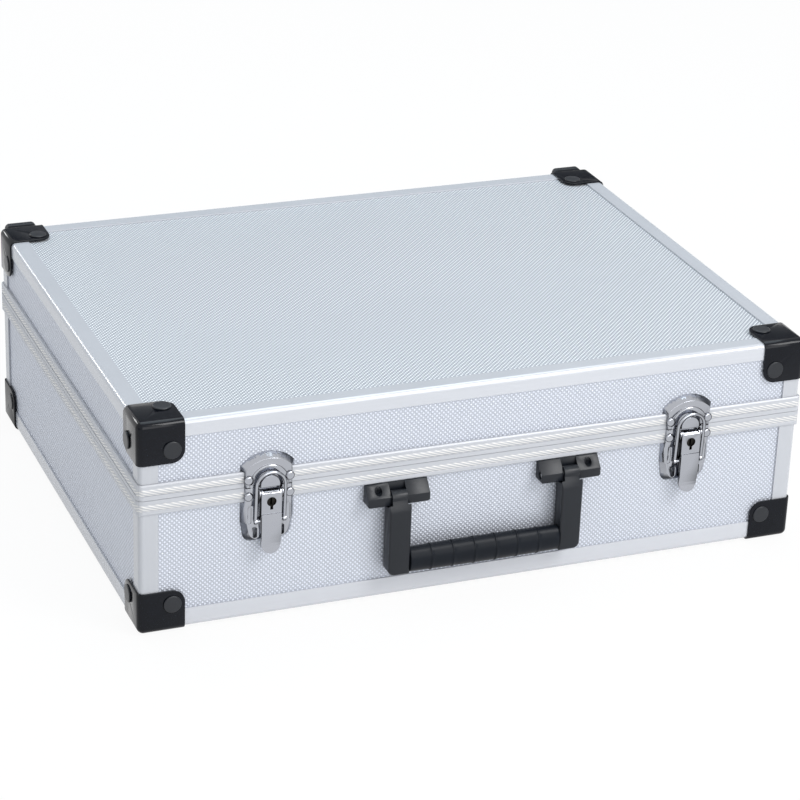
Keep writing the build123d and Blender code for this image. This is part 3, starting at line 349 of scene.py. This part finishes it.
def black_plastic(name, roughness, grain_depth, shine=0.35):
    """Moulded black plastic with a fine grain."""
    finish = Finish(name)
    grain = finish.noise(scale=1500.0, detail=2.0)
    cloud = finish.noise(scale=30.0, detail=2.0)
    colour = settings().plastic_colour
    return finish.surface(
        Base_Color=finish.blend(cloud, rgb(colour, 0.85), rgb(colour, 1.3)), Specular_IOR_Level=shine,
        Roughness=roughness + 0.1 * grain, Normal=finish.bump(grain, grain_depth))


def zinc_steel():
    """Steel with a cloudy zinc plate."""
    finish = Finish("zinc_steel")
    cloud = finish.noise(scale=120.0, detail=3.0)
    return finish.surface(
        Base_Color=finish.blend(cloud, (0.50, 0.51, 0.52, 1), (0.62, 0.62, 0.62, 1)),
        Metallic=1.0, Roughness=0.30 + 0.15 * cloud)


def lock_brass():
    """Dark tarnished brass of the lock barrels."""
    finish = Finish("lock_brass")
    cloud = finish.noise(scale=200.0, detail=2.0)
    return finish.surface(
        Base_Color=finish.blend(cloud, (0.016, 0.015, 0.014, 1), (0.030, 0.028, 0.025, 1)),
        Metallic=1.0, Roughness=0.40 + 0.1 * cloud)


def felt_lining():
    """Dark fibrous lining."""
    finish = Finish("felt_lining")
    fibre = finish.noise(scale=2200.0, detail=3.0)
    cloud = finish.noise(scale=14.0, detail=2.0)
    colour = settings().lining_colour
    return finish.surface(
        Base_Color=finish.blend(fibre * 0.7 + cloud * 0.3, rgb(colour, 0.7), rgb(colour, 1.6)),
        Roughness=0.95, Normal=finish.bump(fibre, depth_mm=0.3))


# Pieces taken from the frame
def paint(names, material):
    """Gives pieces of the frame one material."""
    for name in names:
        shown = frame["nodes"][name]
        shown.data.materials.clear()
        shown.data.materials.append(material)


def body_of_node(name):
    for body, members in frame["record"]["behaviour"]["bodies"].items():
        if name in members:
            return body
    raise RuntimeError("no body holds " + name)


def select_only(thing):
    bpy.ops.object.select_all(action="DESELECT")
    thing.select_set(True)
    bpy.context.view_layer.objects.active = thing


def refined(name, material, rounding, segments=2):
    """Closed copy of a frame piece with its sharp edges rounded."""
    source = frame["nodes"][name]
    select_only(source)
    bpy.ops.object.duplicate()
    piece = bpy.context.view_layer.objects.active
    piece.name = name + "_finished"
    piece.parent = None
    piece.matrix_world = Matrix.Identity(4)
    for key in list(piece.keys()):
        if key.startswith("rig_"):
            del piece[key]
    select_only(piece)
    bpy.ops.object.mode_set(mode="EDIT")
    bpy.ops.mesh.select_all(action="SELECT")
    bpy.ops.mesh.remove_doubles(threshold=WELD_DISTANCE)
    bpy.ops.mesh.dissolve_limited(angle_limit=math.radians(FLAT_DEGREES))
    bpy.ops.object.mode_set(mode="OBJECT")
    if piece.data.has_custom_normals:
        bpy.ops.mesh.customdata_custom_splitnormals_clear()
    bevel = piece.modifiers.new("rounding", "BEVEL")
    bevel.width = rounding
    bevel.segments = segments
    bevel.limit_method = "ANGLE"
    bevel.angle_limit = math.radians(SHARP_DEGREES)
    bevel.use_clamp_overlap = True
    bevel.harden_normals = False
    bpy.ops.object.modifier_apply(modifier=bevel.name)
    bpy.ops.object.shade_smooth_by_angle(angle=math.radians(SHARP_DEGREES))
    piece.data.materials.clear()
    piece.data.materials.append(material)
    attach(piece, body_of_node(name))
    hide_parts(name)
    return piece


class CasePiece:
    """What all operators of this case share."""

    bl_options = {"REGISTER", "UNDO"}


class DressPanels(CasePiece, bpy.types.Operator):
    """Embossed sheet on all wall and face panels, with painted highlights on the dots and painted shade
    between them
    """

    bl_idname = "tool_case.panels"
    bl_label = "Panels"

    def execute(self, context):
        for wall, (across, along) in WALL_AXES.items():
            names = [half + "_" + wall + "_panel" for half in HALVES]
            names = [name for name in names if name in frame["nodes"]]
            # Top and bottom faces get a stronger painted highlight and painted shade than the walls
            painted_contrast = FACE_PAINTED_CONTRAST if along == Y else WALL_PAINTED_CONTRAST
            paint(names, dotted_sheet("dotted_sheet_" + wall, across, along, painted_contrast))
        return {"FINISHED"}


class DressProfiles(CasePiece, bpy.types.Operator):
    """Satin finish on the edge profiles and the upright corner profiles, the upright ones darkened as painted
    shade
    """

    bl_idname = "tool_case.profiles"
    bl_label = "Edge profiles"

    def execute(self, context):
        flat = satin_profile("satin_profile", stretch=(0.04, 0.04, 1.0), gain=1.0)
        # Corner posts: the same satin darkened to 0.86 as painted shade
        upright = satin_profile("satin_post_painted_shade", stretch=(1.0, 1.0, 0.04), gain=0.86)
        paint(("base_bottom_profiles", "lid_top_profiles"), flat)
        paint(("base_corner_profiles", "lid_corner_profiles"), upright)
        return {"FINISHED"}


class DressRails(CasePiece, bpy.types.Operator):
    """Closing rails with their ribbed bands"""

    bl_idname = "tool_case.rails"
    bl_label = "Closing rails"

    def execute(self, context):
        low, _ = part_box("lid_closing_rails")
        parting = low[Z] / MM - RAIL_CLEARANCE
        for name, sign in (("lid_closing_rails", 1.0), ("base_closing_rails", -1.0)):
            long_run = ribbed_rail(name + "_long", X, parting, sign)
            short_run = ribbed_rail(name + "_short", Y, parting, sign)
            rails = frame["nodes"][name]
            rails.data.materials.clear()
            rails.data.materials.append(long_run)
            rails.data.materials.append(short_run)
            for face in rails.data.polygons:
                if abs(face.normal.x) > abs(face.normal.y):
                    face.material_index = 1
        return {"FINISHED"}


class DressProtectors(CasePiece, bpy.types.Operator):
    """Black lacquered corner protectors, their rivets and the stand feet"""

    bl_idname = "tool_case.protectors"
    bl_label = "Corner protectors"

    def execute(self, context):
        lacquer = black_lacquer()
        plastic = black_plastic("foot_plastic", roughness=0.4, grain_depth=0.03)
        button = black_plastic("rivet_lacquer", roughness=0.3, grain_depth=0.01, shine=0.5)
        for half in HALVES:
            for corner in CORNERS:
                refined(half + "_" + corner + "_protector", lacquer, settings().edge)
            refined(half + "_protector_rivets", button, RIVET_ROUNDING)
            refined(half + "_stand_feet", plastic, settings().edge)
        return {"FINISHED"}


class DressLatches(CasePiece, bpy.types.Operator):
    """Bright latch plates, levers, bails, rivets and the lock barrels"""

    bl_idname = "tool_case.latches"
    bl_label = "Latches"

    def execute(self, context):
        bright = bright_plate()
        brass = lock_brass()
        for side in SIDES:
            refined(side + "_strike_plate", bright, settings().edge)
            refined(side + "_latch_plate", bright, settings().edge)
            refined(side + "_latch_lever", bright, LEVER_ROUNDING)
            refined(side + "_latch_bail", bright, BAIL_ROUNDING)
            paint((side + "_lock_barrel",), brass)
        paint(("latch_lever_pins", "base_round_rivets", "lid_round_rivets"), bright)
        return {"FINISHED"}


class DressHandle(CasePiece, bpy.types.Operator):
    """Moulded handle with its brackets, pins and screws"""

    bl_idname = "tool_case.handle"
    bl_label = "Handle"

    def execute(self, context):
        moulded = black_plastic("handle_plastic", roughness=0.32, grain_depth=0.02)
        soft = black_plastic("grip_plastic", roughness=0.30, grain_depth=0.02, shine=0.13)
        for side in SIDES:
            refined(side + "_handle_bracket", moulded, BRACKET_ROUNDING)
        refined("handle_frame", moulded, HANDLE_ROUNDING, HANDLE_SEGMENTS)
        refined("handle_grip", soft, GRIP_ROUNDING)
        dark_steel = black_plastic("blackened_steel", roughness=0.25, grain_depth=0.01)
        paint(("handle_bracket_screws",), dark_steel)
        paint(("handle_backing_plates", "handle_pins"), zinc_steel())
        return {"FINISHED"}


class DressInside(CasePiece, bpy.types.Operator):
    """Lining, hinges and lid stays"""

    bl_idname = "tool_case.inside"
    bl_label = "Lining, hinges and stays"

    def execute(self, context):
        felt = felt_lining()
        steel = zinc_steel()
        paint(("base_floor_lining", "base_wall_linings", "lid_top_lining", "lid_wall_linings"), felt)
        paint(("base_hinge_leaves", "lid_hinge_leaves", "hinge_pins"), steel)
        paint(("left_stay_arm", "right_stay_arm", "base_stay_studs", "lid_stay_studs"), steel)
        return {"FINISHED"}


# Studio: places in metres, angles in degrees, lamps in watts
# The camera was solved about the middle of the body, which lies CASE_SHIFT behind the frame's
# origin and stands FLOOR_CLEAR above the floor on its rivet heads
CAMERA_AZIMUTH = -22.15
CAMERA_ELEVATION = 24.50
CAMERA_ROLL = 2.144
FOCAL_PIXELS = 2740.5
CAMERA_PLACE = (-0.6232, -1.5584, 0.8181)
CASE_SHIFT = 0.003575
FLOOR_CLEAR = 0.0022
PICTURE_SIDE = 800
SENSOR_WIDTH = 36
NEAR_CLIP = 0.05
FAR_CLIP = 50
FLOOR_SIDE = 12
FLOOR_GLOW = 0.93
WHITE = (1, 1, 1)
SKY = (0.93, 0.96, 1.0, 1)
SKY_STRENGTH = 0.52

# Name, place, turn and width of each card
DARK_CARDS = (
    ("card_left", (-1.5, -0.9, 0.3), -60, 0.9),
    ("card_right", (1.1, -0.9, 0.3), 50, 0.8),
    ("card_back", (0.8, 1.7, 0.9), 10, 2.2),
)

# Name, place, aim, side, power and colour of each lamp
LAMPS = (
    ("key_lamp", (0.9, -1.3, 1.5), (0, 0, 0.05), 0.8, 21, WHITE),
    ("top_lamp", (0.1, 0.5, 1.7), (0, 0, 0.1), 1.4, 16, (0.77, 0.91, 1.0)),
    ("front_lamp", (0.3, -2.3, 0.8), (0, 0, 0.05), 1.5, 16.5, WHITE),
    ("rim_lamp", (-1.0, 2.0, 0.9), (-0.2, 0, 0.13), 0.3, 3.5, WHITE),
)


def camera_axes():
    """Directions to the right, upwards and ahead as the camera sees them."""
    azimuth = math.radians(CAMERA_AZIMUTH)
    elevation = math.radians(CAMERA_ELEVATION)
    roll = math.radians(CAMERA_ROLL)
    ahead = Vector((-math.sin(azimuth) * math.cos(elevation),
                    math.cos(azimuth) * math.cos(elevation), -math.sin(elevation)))
    right = ahead.cross(Vector((0, 0, 1))).normalized()
    up = right.cross(ahead)
    turned_right = math.cos(roll) * right + math.sin(roll) * up
    turned_up = -math.sin(roll) * right + math.cos(roll) * up
    return turned_right, turned_up, ahead


def soft_lamp(name, place, aim, side, power, colour):
    bpy.ops.object.light_add(type="AREA", location=place)
    lamp = bpy.context.object
    lamp.name = name
    lamp.data.shape = "SQUARE"
    lamp.data.size = side
    lamp.data.energy = power
    lamp.data.color = colour
    lamp.rotation_mode = "QUATERNION"
    lamp.rotation_quaternion = (Vector(aim) - Vector(place)).to_track_quat("-Z", "Y")


def card_finish():
    """Grey card that the camera looks through and bright metal still shows."""
    dark = Finish("dark_card")
    cloud = dark.noise(scale=3.0, detail=1.0)
    grey = dark.blend(cloud, (0.20, 0.20, 0.205, 1), (0.26, 0.26, 0.265, 1))
    dark.surface(Base_Color=grey, Roughness=0.8)
    path = dark.node("ShaderNodeLightPath", {}, {})
    clear = dark.node("ShaderNodeBsdfTransparent", {}, {})
    dark.show(dark.node("ShaderNodeMixShader", {}, {
        0: path.outputs["Is Camera Ray"], 1: dark.shader.outputs[0], 2: clear.outputs[0]}))
    return dark.material


def floor_finish():
    """Pale floor that reads white to the eye and in bright metal, and keeps the shadow."""
    white = Finish("white_floor")
    path = white.node("ShaderNodeLightPath", {}, {})
    seen = Number(white, path.outputs["Is Camera Ray"])
    seen = seen.most(Number(white, path.outputs["Is Glossy Ray"]))
    seen = seen.most(Number(white, path.outputs["Is Transmission Ray"]))
    grain = white.noise(scale=40.0, detail=2.0)
    pale = white.blend(grain, (0.89, 0.89, 0.89, 1), (0.91, 0.91, 0.91, 1))
    white.surface(Base_Color=pale, Roughness=0.9)
    glow = white.node("ShaderNodeEmission", {}, {"Color": (*WHITE, 1), "Strength": 1.0})
    white.show(white.node("ShaderNodeMixShader", {}, {
        0: seen * FLOOR_GLOW, 1: white.shader.outputs[0], 2: glow.outputs[0]}))
    return white.material


def studio_world():
    """Soft pale light all round, plain white where the eye or bright metal sees it."""
    world = bpy.data.worlds.new("studio")
    world.use_nodes = True
    tree = world.node_tree
    soft = tree.nodes["Background"]
    soft.inputs["Color"].default_value = SKY
    soft.inputs["Strength"].default_value = SKY_STRENGTH
    white = tree.nodes.new("ShaderNodeBackground")
    white.inputs["Color"].default_value = (*WHITE, 1)
    white.inputs["Strength"].default_value = 1.0
    path = tree.nodes.new("ShaderNodeLightPath")
    seen = path.outputs["Is Camera Ray"]
    for ray in ("Is Glossy Ray", "Is Transmission Ray"):
        either = tree.nodes.new("ShaderNodeMath")
        either.operation = "MAXIMUM"
        tree.links.new(seen, either.inputs[0])
        tree.links.new(path.outputs[ray], either.inputs[1])
        seen = either.outputs[0]
    mix = tree.nodes.new("ShaderNodeMixShader")
    tree.links.new(seen, mix.inputs[0])
    tree.links.new(soft.outputs[0], mix.inputs[1])
    tree.links.new(white.outputs[0], mix.inputs[2])
    tree.links.new(mix.outputs[0], tree.nodes["World Output"].inputs[0])
    return world


def dark_card(name, place, turn, width, material):
    """Upright card, half as high as it is wide, which bright metal shows as dark edges."""
    bpy.ops.object.select_all(action="DESELECT")
    bpy.ops.mesh.primitive_plane_add(size=1, location=place, rotation=(math.pi / 2, 0, math.radians(turn)))
    card = bpy.context.object
    card.name = name
    card.scale = (width, width / 2, 1)
    card.data.materials.append(material)


class SetStage(CasePiece, bpy.types.Operator):
    """Pale floor, soft lamps, grey cards and the camera"""

    bl_idname = "tool_case.stage"
    bl_label = "Studio"

    def execute(self, context):
        bpy.ops.object.select_all(action="DESELECT")
        bpy.ops.mesh.primitive_plane_add(size=FLOOR_SIDE, location=(0, 0, 0))
        floor = context.object
        floor.name = "floor"
        floor.data.materials.append(floor_finish())
        context.scene.world = studio_world()

        for lamp in LAMPS:
            soft_lamp(*lamp)
        dark = card_finish()
        for card in DARK_CARDS:
            dark_card(*card, dark)

        right, up, ahead = camera_axes()
        place = Vector(CAMERA_PLACE) + Vector((0, CASE_SHIFT, FLOOR_CLEAR))
        bpy.ops.object.camera_add(location=place)
        camera = context.object
        turn = Matrix((right, up, -ahead)).transposed()
        camera.rotation_mode = "QUATERNION"
        camera.rotation_quaternion = turn.to_quaternion()
        camera.data.sensor_width = SENSOR_WIDTH
        camera.data.lens = FOCAL_PIXELS / PICTURE_SIDE * SENSOR_WIDTH
        camera.data.clip_start = NEAR_CLIP
        camera.data.clip_end = FAR_CLIP
        context.scene.camera = camera
        context.scene.view_settings.view_transform = "Standard"
        return {"FINISHED"}


STEPS = (
    DressPanels, DressProfiles, DressRails, DressProtectors, DressLatches, DressHandle, DressInside, SetStage)


class CasePanel(bpy.types.Panel):
    """Lists the pieces of the tool case"""

    bl_idname = "VIEW3D_PT_tool_case"
    bl_label = "Tool case"
    bl_space_type = "VIEW_3D"
    bl_region_type = "UI"
    bl_category = "Tool case"

    def draw(self, context):
        column = self.layout.column()
        for key in CaseSettings.__annotations__:
            column.prop(context.scene.tool_case, key)
        for step in STEPS:
            column.operator(step.bl_idname)


def register():
    for kind in (CaseSettings, *STEPS, CasePanel):
        bpy.utils.register_class(kind)
    bpy.types.Scene.tool_case = bpy.props.PointerProperty(type=CaseSettings)


def unregister():
    del bpy.types.Scene.tool_case
    for kind in reversed((CaseSettings, *STEPS, CasePanel)):
        bpy.utils.unregister_class(kind)


def main():
    register()
    for step in STEPS:
        getattr(bpy.ops.tool_case, step.bl_idname.split(".")[1])()


if __name__ == "__main__":
    main()
